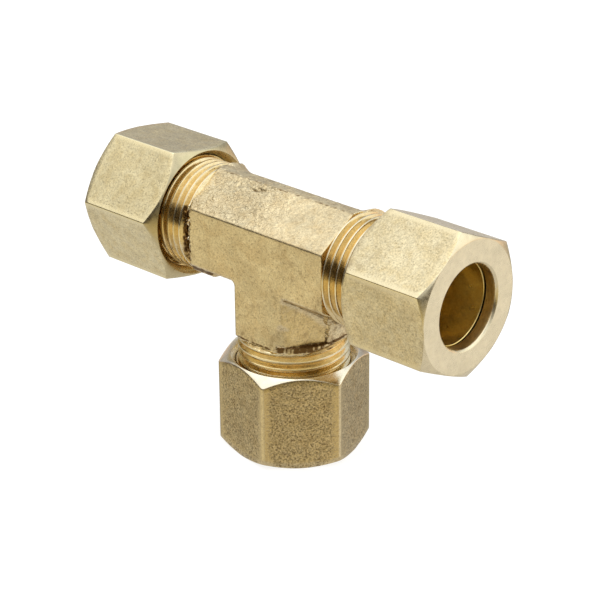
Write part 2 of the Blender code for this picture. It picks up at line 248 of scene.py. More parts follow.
def surface_nets(field, low, high, h):
    """Closed mesh of field = 0 on a grid, pulled onto the surface."""
    n = [int(math.ceil((b - a) / h)) + 1 for a, b in zip(low, high)]
    axes = [low[i] + h * np.arange(n[i]) for i in range(3)]
    f = np.empty(n, np.float64)
    for i in range(0, n[0], 24):
        gx, gy, gz = np.meshgrid(axes[0][i:i + 24], axes[1], axes[2], indexing="ij")
        f[i:i + 24] = field(gx.ravel(), gy.ravel(), gz.ravel()).reshape(gx.shape)
    inside = f < 0
    cells = tuple(k - 1 for k in n)
    total = np.zeros(cells + (3,), np.float32)
    count = np.zeros(cells, np.float32)
    edges = []
    for ax in range(3):
        a = [slice(None)] * 3
        b = [slice(None)] * 3
        a[ax], b[ax] = slice(0, -1), slice(1, None)
        fa, fb = f[tuple(a)], f[tuple(b)]
        cross = inside[tuple(a)] != inside[tuple(b)]
        idx = np.argwhere(cross)
        va, vb = fa[cross], fb[cross]
        t = va / (va - vb)
        pos = idx.astype(np.float64)
        pos[:, ax] += t
        o1, o2 = [k for k in range(3) if k != ax]
        ok = (idx[:, o1] > 0) & (idx[:, o2] > 0) & (idx[:, o1] < n[o1] - 1) & (idx[:, o2] < n[o2] - 1)
        idx, pos, va = idx[ok], pos[ok], va[ok]
        quad = []
        for d1, d2 in ((-1, -1), (0, -1), (0, 0), (-1, 0)):
            cell = idx.copy()
            cell[:, o1] += d1
            cell[:, o2] += d2
            flat = np.ravel_multi_index(cell.T, cells)
            quad.append(flat)
            for k in range(3):
                np.add.at(total.reshape(-1, 3)[:, k], flat, pos[:, k].astype(np.float32))
            np.add.at(count.reshape(-1), flat, 1.0)
        edges.append((ax, np.array(quad).T, va < 0))
    used = np.flatnonzero(count.reshape(-1) > 0)
    number = -np.ones(count.size, np.int64)
    number[used] = np.arange(used.size)
    v = total.reshape(-1, 3)[used] / count.reshape(-1)[used][:, None]
    v = np.array(low) + h * v.astype(np.float64)
    faces = []
    for ax, quad, neg in edges:
        q = number[quad]
        flip = neg if ax != 1 else ~neg
        q[~flip] = q[~flip][:, ::-1]
        faces.append(q)
    faces = np.concatenate(faces)
    start = v.copy()
    f0 = field(v[:, 0], v[:, 1], v[:, 2])
    g = np.stack([(field(*(v + np.eye(3)[k] * 0.04).T) - f0) / 0.04 for k in range(3)], 1)
    g = g / np.maximum((g * g).sum(1), 0.25)[:, None]
    for _ in range(2):
        v = v - np.clip(f0[:, None] * g, -0.3 * h, 0.3 * h)
        f0 = field(v[:, 0], v[:, 1], v[:, 2])
    v = start + np.clip(v - start, -0.6 * h, 0.6 * h)
    return v, faces


def paint(obj, name, values):
    """Store a number at each vertex, for the material to read."""
    layer = obj.data.attributes.new(name, "FLOAT", "POINT")
    layer.data.foreach_set("value", np.asarray(values, np.float32))


def link(name, verts, faces, smooth=True):
    mesh = bpy.data.meshes.new(name)
    verts = np.asarray(verts, np.float32)
    faces = np.asarray(faces, np.int32)
    mesh.vertices.add(len(verts))
    mesh.vertices.foreach_set("co", verts.ravel())
    k = faces.shape[1]
    mesh.loops.add(faces.size)
    mesh.loops.foreach_set("vertex_index", faces.ravel())
    mesh.polygons.add(len(faces))
    mesh.polygons.foreach_set("loop_start", np.arange(0, faces.size, k, dtype=np.int32))
    mesh.update(calc_edges=True)
    mesh.validate()
    if smooth:
        mesh.shade_smooth()
    obj = bpy.data.objects.new(name, mesh)
    bpy.context.scene.collection.objects.link(obj)
    return obj


# ------------------------------------------------------------------ turned and threaded solids
def loop_solid(name, phis, s, r, parts, sharp=32.0):
    """Closed ring solid: rows of (station, radius) round each of the angles phis.

    s and r have one row per profile point and one column per angle; the last
    column repeats the first, a thread's rows shifted by one pitch.  parts gives
    each profile segment's material index.
    """
    k, n = s.shape
    x, y = r * np.cos(phis), r * np.sin(phis)
    verts = np.stack([x, y, s], -1).reshape(-1, 3) * MM
    i = np.arange(k)
    i2 = (i + 1) % k
    j = np.arange(n - 1)
    quad = np.stack([(i[:, None] * n + j), (i[:, None] * n + j + 1),
                     (i2[:, None] * n + j + 1), (i2[:, None] * n + j)], -1).reshape(-1, 4)
    mesh = bpy.data.meshes.new(name)
    mesh.vertices.add(len(verts))
    mesh.vertices.foreach_set("co", verts.astype(np.float32).ravel())
    mesh.loops.add(quad.size)
    mesh.loops.foreach_set("vertex_index", quad.astype(np.int32).ravel())
    mesh.polygons.add(len(quad))
    mesh.polygons.foreach_set("loop_start", np.arange(0, quad.size, 4, dtype=np.int32))
    mesh.polygons.foreach_set("material_index", np.repeat(np.asarray(parts, np.int32), n - 1))
    mesh.update(calc_edges=True)
    bm = bmesh.new()
    bm.from_mesh(mesh)
    bmesh.ops.remove_doubles(bm, verts=bm.verts, dist=4e-7)
    bmesh.ops.dissolve_degenerate(bm, edges=bm.edges, dist=4e-7)
    bmesh.ops.recalc_face_normals(bm, faces=bm.faces)
    bm.to_mesh(mesh)
    bm.free()
    mesh.shade_smooth()
    mesh.set_sharp_from_angle(angle=math.radians(sharp))
    obj = bpy.data.objects.new(name, mesh)
    bpy.context.scene.collection.objects.link(obj)
    return obj


FORM = [(-0.105, 0.990), (-0.035, 1.0), (0.035, 1.0), (0.105, 0.990), (0.130, 0.930),
        (0.19, 0.70), (0.27, 0.44), (0.35, 0.16), (0.39, 0.05), (0.44, 0.0), (0.50, 0.0),
        (0.56, 0.0), (0.61, 0.05), (0.65, 0.16), (0.73, 0.44), (0.81, 0.70), (0.870, 0.930)]


def thread_rows(start, end, crest, phis, crest_r, root_r):
    """Stations and radii of right-handed thread rows, with each row's place in the form."""
    crest_s, crest_a = crest
    turns = phis / TAU - crest_a / 360.0
    low = int(math.floor((start - crest_s) / PITCH)) - 3
    high = int(math.ceil((end - crest_s) / PITCH)) + 3
    s, r, u0 = [], [], []
    for m in range(low, high):
        for u, q in FORM:
            s.append(crest_s + PITCH * (m + u + turns))
            r.append(np.full_like(phis, root_r + (crest_r - root_r) * q))
            u0.append(u)
    return np.array(s), np.array(r), u0


def form_radius(station, crest, phis, crest_r, root_r):
    crest_s, crest_a = crest
    u = ((station - crest_s) / PITCH - (phis / TAU - crest_a / 360.0)) % 1.0
    u = np.minimum(u, 1.0 - u)
    return root_r + (crest_r - root_r) * np.clip(1.0 - (u - 0.075) / 0.345, 0.0, 1.0)


def row(phis, s, r):
    return np.full_like(phis, s), np.full_like(phis, r)


def spigot(which, start):
    """Threaded end of one arm with its socket, stop, passage and ferrule seat."""
    n = 361
    phis = np.linspace(0.0, TAU, n)
    crest = CREST[which]
    S, R, part = [], [], []

    def add(s, r, material):
        S.append(np.broadcast_to(np.asarray(s, float), phis.shape).copy())
        R.append(np.broadcast_to(np.asarray(r, float), phis.shape).copy())
        part.append(material)

    inner = 12.3
    for s, r in ((inner, PASSAGE_R), (SOCKET_STOP - 0.12, PASSAGE_R), (SOCKET_STOP, PASSAGE_R + 0.12),
                 (SOCKET_STOP, SOCKET_R - 0.05), (SOCKET_STOP + 0.05, SOCKET_R),
                 (18.0, SOCKET_R), (MOUTH - SEAT_DEPTH - 0.05, SOCKET_R),
                 (MOUTH - SEAT_DEPTH + 0.06, SOCKET_R + 0.05), (MOUTH - 0.05, SEAT_R - 0.04),
                 (MOUTH, SEAT_R + 0.05)):
        add(s, r, 1)
    add(MOUTH, 7.86, 0)
    high_c, low_c = MOUTH - 0.04, start
    ts, tr, tu = thread_rows(start, high_c, crest, phis, MAJOR, MINOR)
    edge_h = np.minimum(form_radius(high_c, crest, phis, MAJOR, MINOR), 7.90)
    edge_l = np.full_like(phis, 7.72)
    # the first thread stands clear of a torn band beside the left shoulder
    ring = np.cos(phis), np.sin(phis)
    tear = fractal(ring[0] * 9.0, ring[1] * 9.0, np.zeros(n), 1.1, 3, 83)
    run_in = np.zeros(n)
    if which == "left":
        # angle round the arm from its front face, upwards
        up = (np.degrees(phis) + 270.0) % 360.0 - 180.0
        chip = step(-56.0, -44.0, up) * step(36.0, 24.0, up)
        run_in = 1.05 * chip + 0.12 * tear
    elif which == "branch":
        run_in = 0.10 * tear
    for i in range(len(ts) - 1, -1, -1):
        a, b = ts[i], tr[i]
        env = 7.90 + (high_c - a) * 1.0
        grow = 7.72 + np.clip((a - low_c - run_in) / 0.42, 0.0, 1.0) * 1.2
        rr = np.minimum(np.minimum(b, env), grow)
        if which == "left":
            rough = np.clip(fractal(ring[0] * 9.0, ring[1] * 9.0, a, 0.7, 3, 91, 0.65) + 0.15, 0.0, 1.0)
            rr = rr + 0.75 * chip * rough * step(low_c + 1.65, low_c + 1.1, a)
        rr = np.where(a >= high_c, edge_h, np.where(a <= low_c, edge_l, rr))
        add(np.clip(a, low_c, high_c), rr, 3 if tu[i] in (0.105, 0.035) else 0)
    add(start - 0.02, 7.68, 0)
    add(inner, 7.60, 0)
    return loop_solid(which + "_spigot", phis, np.array(S), np.array(R), part)


def hex_radius(phi, turn, flat, rho):
    """Radius of a hexagon with corners rounded to rho, at the angles phi."""
    d = (phi - math.radians(turn) - math.radians(30.0)) % (TAU / 6.0)
    d = np.abs(np.where(d > TAU / 12.0, d - TAU / 6.0, d))
    c = (flat - rho) / math.cos(math.radians(30.0))
    tangent = math.atan((flat - rho) * math.tan(math.radians(30.0)) / flat)
    gap = math.radians(30.0) - d
    corner = c * np.cos(gap) + np.sqrt(np.maximum(rho * rho - (c * np.sin(gap)) ** 2, 0.0))
    return np.where(d > tangent, corner, flat / np.cos(d))


def nut(which):
    face = FACE[which]
    inner = face - NUT_LENGTH
    turn, rho = TURN[which], EDGE[which]
    # angles crowd towards the six corners
    base = []
    for k in range(6):
        c0 = math.radians(turn + 60.0 * k)
        for dgr in (-1.6, -1.1, -0.75, -0.45, -0.2, 0.0, 0.2, 0.45, 0.75, 1.1, 1.6, 2.3, 3.3):
            base.append(c0 + math.radians(dgr))
        for dgr in np.linspace(4.8, 55.2, 26):
            base.append(c0 + math.radians(dgr))
        for dgr in (56.7, 57.7):
            base.append(c0 + math.radians(dgr))
    base = np.sort(np.array(base) % TAU)
    base = base[np.concatenate([[True], np.diff(base) > 1e-5])]
    phis = np.concatenate([base, [base[0] + TAU]])
    corner = NUT_FLAT / math.cos(math.radians(30.0))
    ko = NUT_OUT / (corner - NUT_FACE_R)
    ki = NUT_IN / (corner - NUT_IN_R)
    rh = hex_radius(phis, turn, NUT_FLAT, rho)
    # the extruded flats are a touch hollow and wavy
    wav = 0.018 * fractal(np.cos(phis) * 9, np.sin(phis) * 9, np.zeros_like(phis) + 3.0, 4.0, 2, 5 + len(which))
    S, R, part = [], [], []

    def add(s, r, material):
        S.append(np.broadcast_to(np.asarray(s, float), phis.shape).copy())
        R.append(np.broadcast_to(np.asarray(r, float), phis.shape).copy())
        part.append(material)

    hole_end = face - NUT_HOLE_WALL
    c = NUT_HOLE_CHAMFER
    add(hole_end, NUT_HOLE_R + 0.05, 3)
    add(hole_end + 0.05, NUT_HOLE_R, 3)
    add(face - 1.1, NUT_HOLE_R, 3)
    add(face - c - 0.06, NUT_HOLE_R, 1)
    add(face - c + 0.03, NUT_HOLE_R + 0.04, 1)
    add(face - 0.5 * c, NUT_HOLE_R + 0.5 * c, 1)
    add(face - 0.05, NUT_HOLE_R + c - 0.03, 1)
    add(face, NUT_HOLE_R + c + 0.06, 1)
    for rr in (7.3, 8.2, 9.1, NUT_FACE_R - 0.10):
        add(face, rr, 1)
    add(face - 0.004, NUT_FACE_R - 0.03, 1)
    add(face - ko * 0.05 - 0.004, NUT_FACE_R + 0.05, 1)
    so = face - ko * (rh - NUT_FACE_R)
    add(0.5 * (so + face), 0.5 * (rh + NUT_FACE_R), 1)
    b = 0.10
    add(so + ko * b, rh - b, 1)
    add(so - 0.012, rh - 0.035, 0)
    add(so - b, rh, 0)
    si = inner + ki * (rh - NUT_IN_R)
    for t in np.linspace(0.06, 0.94, 14):
        q = so - b + (si + b - so + b) * t
        add(q, rh + wav * math.sin(math.pi * t), 0)
    add(si + b, rh, 0)
    add(si + 0.03, rh - 0.025, 1)
    add(si - ki * b, rh - b, 1)
    add(0.5 * (si + inner), 0.5 * (rh + NUT_IN_R), 1)
    add(inner + ki * 0.05, NUT_IN_R + 0.05, 1)
    add(inner, NUT_IN_R - 0.02, 1)
    add(inner, NUT_IN_R - 0.08, 1)
    add(inner + 0.05, NUT_IN_R - 0.16, 1)
    start, end = inner + NUT_SINK, inner + NUT_THREAD_END
    crown, root = MAJOR + NUT_CLEAR, MINOR + NUT_CLEAR
    add(start, crown + 0.02, 2)
    ts, tr, _ = thread_rows(start, end, CREST[which], phis, crown, root)
    low_r = np.full_like(phis, crown)
    high_r = np.full_like(phis, NUT_CONE_R)
    for a, c in zip(ts, tr):
        rr = np.where(a <= start, low_r, np.where(a >= end, high_r, c))
        add(np.clip(a, start, end), rr, 2)
    cone = hole_end - (NUT_CONE_R - NUT_HOLE_R)
    add(0.5 * (end + cone), NUT_CONE_R, 1)
    add(cone, NUT_CONE_R, 1)
    return loop_solid(which + ("_run" if which != "branch" else "") + "_nut_detailed",
                      phis, np.array(S), np.array(R), part, 24.0)


def ferrule(which):
    end = FACE[which] - FER_BACK
    start = end - FER_LEN
    phis = np.linspace(0.0, TAU, 161)
    pts = [(start + 0.06, FER_BORE), (start, FER_BORE + 0.06), (start, FER_TIP - 0.06), (start + 0.05, FER_TIP)]
    for t in np.linspace(0.15, 1.0, 6):
        a = t * math.pi / 2
        pts.append((start + FER_TAPER * t, FER_TIP + (FER_R - FER_TIP) * math.sin(a)))
    for t in np.linspace(1.0, 0.15, 6):
        a = t * math.pi / 2
        pts.append((end - FER_TAPER * t, FER_TIP + (FER_R - FER_TIP) * math.sin(a)))
    pts += [(end - 0.05, FER_TIP), (end, FER_TIP - 0.06), (end, FER_BORE + 0.08), (end - 0.08, FER_BORE),
            (0.5 * (start + end), FER_BORE)]
    S = np.array([np.full_like(phis, p[0]) for p in pts])
    R = np.array([np.full_like(phis, p[1]) for p in pts])
    return loop_solid(which + ("_run" if which != "branch" else "") + "_ferrule_detailed",
                      phis, S, R, [0] * len(pts), 40.0)


# ------------------------------------------------------------------ materials
class Nodes:
    """Small helper to wire a node tree."""

    def __init__(self, mat):
        mat.use_nodes = True
        self.t = mat.node_tree
        self.t.nodes.clear()

    def new(self, kind, **values):
        n = self.t.nodes.new(kind)
        for k, v in values.items():
            setattr(n, k, v)
        return n

    def join(self, a, b):
        self.t.links.new(a, b)

    def math(self, op, a, b=None, clamp=False):
        n = self.new("ShaderNodeMath", operation=op, use_clamp=clamp)
        for i, v in enumerate((a, b)):
            if v is None:
                continue
            if hasattr(v, "links"):
                self.join(v, n.inputs[i])
            else:
                n.inputs[i].default_value = v
        return n.outputs[0]

    def noise(self, vector, scale, detail=3.0, rough=0.55, distortion=0.0):
        n = self.new("ShaderNodeTexNoise")
        n.inputs["Scale"].default_value = scale
        n.inputs["Detail"].default_value = detail
        n.inputs["Roughness"].default_value = rough
        n.inputs["Distortion"].default_value = distortion
        self.join(vector, n.inputs["Vector"])
        return n.outputs["Fac"]

    def ramp(self, fac, stops):
        n = self.new("ShaderNodeValToRGB")
        el = n.color_ramp.elements
        while len(el) < len(stops):
            el.new(0.5)
        for e, (p, c) in zip(el, stops):
            e.position = p
            e.color = (*c, 1.0) if len(c) == 3 else c
        self.join(fac, n.inputs[0])
        return n.outputs["Color"]

    def mix(self, fac, a, b, blend="MIX"):
        n = self.new("ShaderNodeMix", data_type="RGBA", blend_type=blend)
        for sock, v in ((n.inputs[0], fac), (n.inputs[6], a), (n.inputs[7], b)):
            if hasattr(v, "links"):
                self.join(v, sock)
            elif isinstance(v, (int, float)):
                sock.default_value = v
            else:
                sock.default_value = (*v, 1.0)
        return n.outputs[2]


def remap(N, fac, a, b, c, d):
    n = N.new("ShaderNodeMapRange")
    n.inputs["From Min"].default_value = a
    n.inputs["From Max"].default_value = b
    n.inputs["To Min"].default_value = c
    n.inputs["To Max"].default_value = d
    N.join(fac, n.inputs["Value"])
    return n.outputs["Result"]


def attribute(N, name):
    return N.new("ShaderNodeAttribute", attribute_type="GEOMETRY", attribute_name=name).outputs["Fac"]


def brass(name, seed, colour, dull, rough, grain, rings=0.0, specks=0.3, stains=0.3, wear_and_sheen=None, shade_and_grime=None,
          roots=None, cut=None, turn=None, skin=None, cloud=0.08):
    """Procedural brass.

    grain and rings are the depths, in micrometres, of the fine speckled skin and of
    the lathe rings; specks and stains are how strongly dark pits and brown patches
    show, and cloud how far the tone drifts across a face.  wear, grime, cut, turn
    and skin name numbers stored on the mesh, and roots is the pair of radii between
    which a thread's roots darken.  The wear mask pales rubbed margins, partly as a
    painted highlight, and the grime mask darkens to brown, mostly as painted shade
    with some dirt.
    """
    mat = bpy.data.materials.new(name)
    N = Nodes(mat)
    out = N.new("ShaderNodeOutputMaterial")
    bsdf = N.new("ShaderNodeBsdfPrincipled")
    N.join(bsdf.outputs[0], out.inputs[0])
    bsdf.inputs["Metallic"].default_value = 1.0
    coord = N.new("ShaderNodeTexCoord")
    shift = N.new("ShaderNodeMapping")
    shift.inputs["Location"].default_value = (0.031 * seed, -0.017 * seed, 0.023 * seed)
    N.join(coord.outputs["Object"], shift.inputs["Vector"])
    v = shift.outputs["Vector"]
    broad = N.noise(v, 150.0, 3.0, 0.55)
    mid = N.noise(v, 1100.0, 3.0, 0.6)
    fine = N.noise(v, 3600.0, 2.0, 0.6)
    blotch = N.noise(v, 480.0, 5.0, 0.68, 0.5)
    # clean metal, warmer tarnish in blotches, and a salt-and-pepper tone
    tarnish = remap(N, blotch, 0.40, 0.68, 0.0, 1.0)
    col = N.mix(tarnish, colour, dull)
    tone = N.math("MULTIPLY", remap(N, mid, 0.30, 0.72, 0.90, 1.08), remap(N, broad, 0.3, 0.7, 1.0 - cloud, 1.0 + 0.8 * cloud))
    if specks:
        tone = N.math("MULTIPLY", tone, remap(N, fine, 0.34, 0.66, 1.0 - 0.42 * specks, 1.0 + 0.22 * specks))
    tint = N.new("ShaderNodeCombineColor")
    for i in range(3):
        N.join(tone, tint.inputs[i])
    col = N.mix(1.0, col, tint.outputs[0], "MULTIPLY")
    height = N.math("MULTIPLY", N.math("ADD", N.math("MULTIPLY", fine, 0.6), N.math("MULTIPLY", mid, 1.2)), grain)
    # small olive-brown pits, and stains a few tenths of a millimetre across
    brown = (0.17, 0.105, 0.042) if not shade_and_grime else (0.135, 0.062, 0.011)
    dark = None
    if specks:
        pit = N.noise(v, 3300.0, 2.0, 0.55)
        dark = N.math("MULTIPLY", remap(N, pit, 0.62 - 0.10 * specks, 0.76 - 0.10 * specks, 0.0, 1.0), 0.75 * specks)
        height = N.math("SUBTRACT", height, N.math("MULTIPLY", dark, grain * 1.2))
    if stains:
        patch = remap(N, N.noise(v, 330.0, 5.0, 0.72, 0.6), 0.56, 0.72, 0.0, stains)
        patch = N.math("MULTIPLY", patch, remap(N, mid, 0.35, 0.65, 0.4, 1.2))
        dark = patch if dark is None else N.math("MAXIMUM", dark, patch)
    if skin:
        # crisp creases and scales of the forged skin, the creases also darkened as painted shade
        amount = attribute(N, skin)
        for size, deep, width in ((640.0, 30.0, 0.030), (1250.0, 20.0, 0.036)):
            fold = N.math("ABSOLUTE", N.math("SUBTRACT", N.noise(v, size, 2.5, 0.5, 0.7), 0.5))
            fold = N.math("MULTIPLY", remap(N, fold, 0.0, width, 1.0, 0.0), amount)
            height = N.math("SUBTRACT", height, N.math("MULTIPLY", fold, deep))
            dark = N.math("MAXIMUM", N.math("MULTIPLY", dark, remap(N, amount, 0.0, 1.0, 1.0, 0.65)),
                          N.math("MULTIPLY", fold, 0.10))
    if roots:
        sep = N.new("ShaderNodeSeparateXYZ")
        N.join(coord.outputs["Object"], sep.inputs[0])
        rad = N.math("SQRT", N.math("ADD", N.math("MULTIPLY", sep.outputs[0], sep.outputs[0]),
                                    N.math("MULTIPLY", sep.outputs[1], sep.outputs[1])))
        deep = remap(N, rad, roots[1] * MM, roots[0] * MM, 0.0, 0.70)
        deep = N.math("MULTIPLY", deep, remap(N, mid, 0.3, 0.6, 0.5, 1.1), clamp=True)
        col = N.mix(deep, col, (0.72, 0.44, 0.12))
    if shade_and_grime:
        # painted shade, with some dirt: the stored mask turns the colour brown
        g = remap(N, N.math("ADD", attribute(N, shade_and_grime), N.math("MULTIPLY", N.math("SUBTRACT", mid, 0.5), 1.6)),
                  0.30, 0.75, 0.0, 0.92)
        dark = g if dark is None else N.math("MAXIMUM", dark, g)
    r = remap(N, mid, 0.3, 0.7, rough - 0.04, rough + 0.04)
    r = N.math("ADD", r, N.math("MULTIPLY", tarnish, 0.05))
    clear = None
    if wear_and_sheen:
        # rubbed margins: cleaner, paler, smoother; along the nuts' rounded corners the paleness is partly a painted
        # highlight
        clear = remap(N, N.math("ADD", attribute(N, wear_and_sheen), N.math("MULTIPLY", N.math("SUBTRACT", blotch, 0.5), 0.9)),
                      0.30, 0.80, 0.0, 1.0)
    if cut:
        part = attribute(N, cut)
        clear = part if clear is None else N.math("MAXIMUM", clear, part)
    if clear is not None:
        keep = remap(N, clear, 0.0, 1.0, 1.0, 0.30)
        if dark is not None and not shade_and_grime:
            dark = N.math("MULTIPLY", dark, keep)
        height = N.math("MULTIPLY", height, keep)
        col = N.mix(N.math("MULTIPLY", clear, 0.7), col, tuple(min(1.0, c * 1.05) for c in colour))
        r = N.math("MULTIPLY", r, remap(N, clear, 0.0, 1.0, 1.0, 0.72))
    if dark is not None:
        col = N.mix(dark, col, brown)
        r = N.math("ADD", r, N.math("MULTIPLY", dark, 0.12))
    if rings:
        # lathe rings, round the piece's own axis or along the stored turning coordinate
        line = N.new("ShaderNodeCombineXYZ")
        sep = N.new("ShaderNodeSeparateXYZ")
        N.join(coord.outputs["Object"], sep.inputs[0])
        if turn:
            N.join(attribute(N, turn), line.inputs[0])
        else:
            rad = N.math("SQRT", N.math("ADD", N.math("MULTIPLY", sep.outputs[0], sep.outputs[0]),
                                        N.math("MULTIPLY", sep.outputs[1], sep.outputs[1])))
            N.join(N.math("MULTIPLY", N.math("ADD", rad, N.math("MULTIPLY", sep.outputs[2], 0.9)), 1000.0),
                   line.inputs[0])
        N.join(N.math("MULTIPLY", sep.outputs[0], 9.0), line.inputs[1])
        N.join(N.math("MULTIPLY", sep.outputs[1], 9.0), line.inputs[2])
        lines = N.noise(line.outputs[0], 5.5, 3.0, 0.72)
        deep = N.math("MULTIPLY", lines, rings)
        if cut:
            deep = N.math("MULTIPLY", deep, attribute(N, cut))
        height = N.math("ADD", height, deep)
    N.join(r, bsdf.inputs["Roughness"])
    N.join(col, bsdf.inputs["Base Color"])
    b = N.new("ShaderNodeBump")
    b.inputs["Strength"].default_value = 1.0
    b.inputs["Distance"].default_value = 0.000001
    N.join(height, b.inputs["Height"])
    N.join(b.outputs[0], bsdf.inputs["Normal"])
    return mat


def dress(obj, mats, body, node=None):
    for m in mats:
        obj.data.materials.append(m)
    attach(obj, body)
    if node:
        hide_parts(node)
    return obj


def points(obj):
    co = np.empty(len(obj.data.vertices) * 3, np.float32)
    obj.data.vertices.foreach_get("co", co)
    return co.reshape(-1, 3).astype(np.float64) / MM


H = 0.125
v, f = surface_nets(forging, (-15.7, -9.3, -15.1), (14.9, 9.3, 9.9), H)
near, dn, ends, bore, shade, skin, weby = forging(v[:, 0], v[:, 1], v[:, 2], True)
cut_v, shade_and_grime_v, skin_v = np.ones(len(v)), np.zeros(len(v)), np.zeros(len(v))
cut_v[near] = step(-0.05, 0.05, np.maximum(ends, bore) - dn)
collar = step(-14.0, -14.08, v[:, 2]) * step(9.3, 9.1, np.hypot(v[:, 0], v[:, 1]))
cut_v = np.maximum(cut_v, collar)
# painted shade with some dirt: the shade and darkening found above, plus a darker trimmed web
shade_and_grime_v[near] = np.clip(shade + 0.35 * weby, 0.0, 1.2)
skin_v[near] = skin
# painted shade: brown darkening in the crease between run and branch
x0, z0 = np.clip(v[:, 0], 5.0, 8.8), v[:, 2]
crease_shade = np.exp(-((z0 + 4.75 + (x0 - 5.0) * 1.22) / 0.28) ** 2) * step(4.6, 5.4, v[:, 0]) * (v[:, 1] < -1.0)
shade_and_grime_v = np.maximum(shade_and_grime_v, 0.62 * crease_shade)
reach = np.hypot(v[:, 1], v[:, 2])
turn_v = np.where(v[:, 2] < -8.5, np.hypot(v[:, 0], v[:, 1]) + 0.9 * v[:, 2], reach + 0.9 * np.abs(v[:, 0]))
v = v * MM
v[:, 2] += AXIS_Z * MM
body = link("tee_body_forging", v, f)
paint(body, "cut", cut_v)
paint(body, "shade_and_grime", shade_and_grime_v)
paint(body, "turn", turn_v)
paint(body, "skin", skin_v)
forged = brass("forged_brass_skin", 3, (0.82, 0.69, 0.435), (0.74, 0.585, 0.335), 0.33, 19.0, rings=12.0, specks=0.46, cloud=0.14,
               stains=0.60, shade_and_grime="shade_and_grime", cut="cut", turn="turn", skin="skin")
dress(body, [forged], "body", "tee_body")

START = {"left": 13.75, "right": 12.80, "branch": 14.10}
SPECKS = {"left": 0.48, "right": 0.54, "branch": 1.0}
STAINS = {"left": 0.22, "right": 0.36, "branch": 0.50}
# brass colour of each arm's nut flats, turned nut faces and threads; the differences from arm to arm are painted light
# and shade, lit and shaded copies of one brass
FLAT_COLOUR_AND_LIGHT = {"left": (0.87, 0.775, 0.50), "right": (0.80, 0.69, 0.44), "branch": (0.68, 0.56, 0.34)}
TURNED_COLOUR_AND_LIGHT = {"left": (0.66, 0.57, 0.35), "right": (0.83, 0.73, 0.51), "branch": (0.92, 0.84, 0.66)}
THREAD_COLOUR_AND_LIGHT = {"left": (0.87, 0.73, 0.46), "right": (0.84, 0.69, 0.41), "branch": (0.96, 0.82, 0.52)}
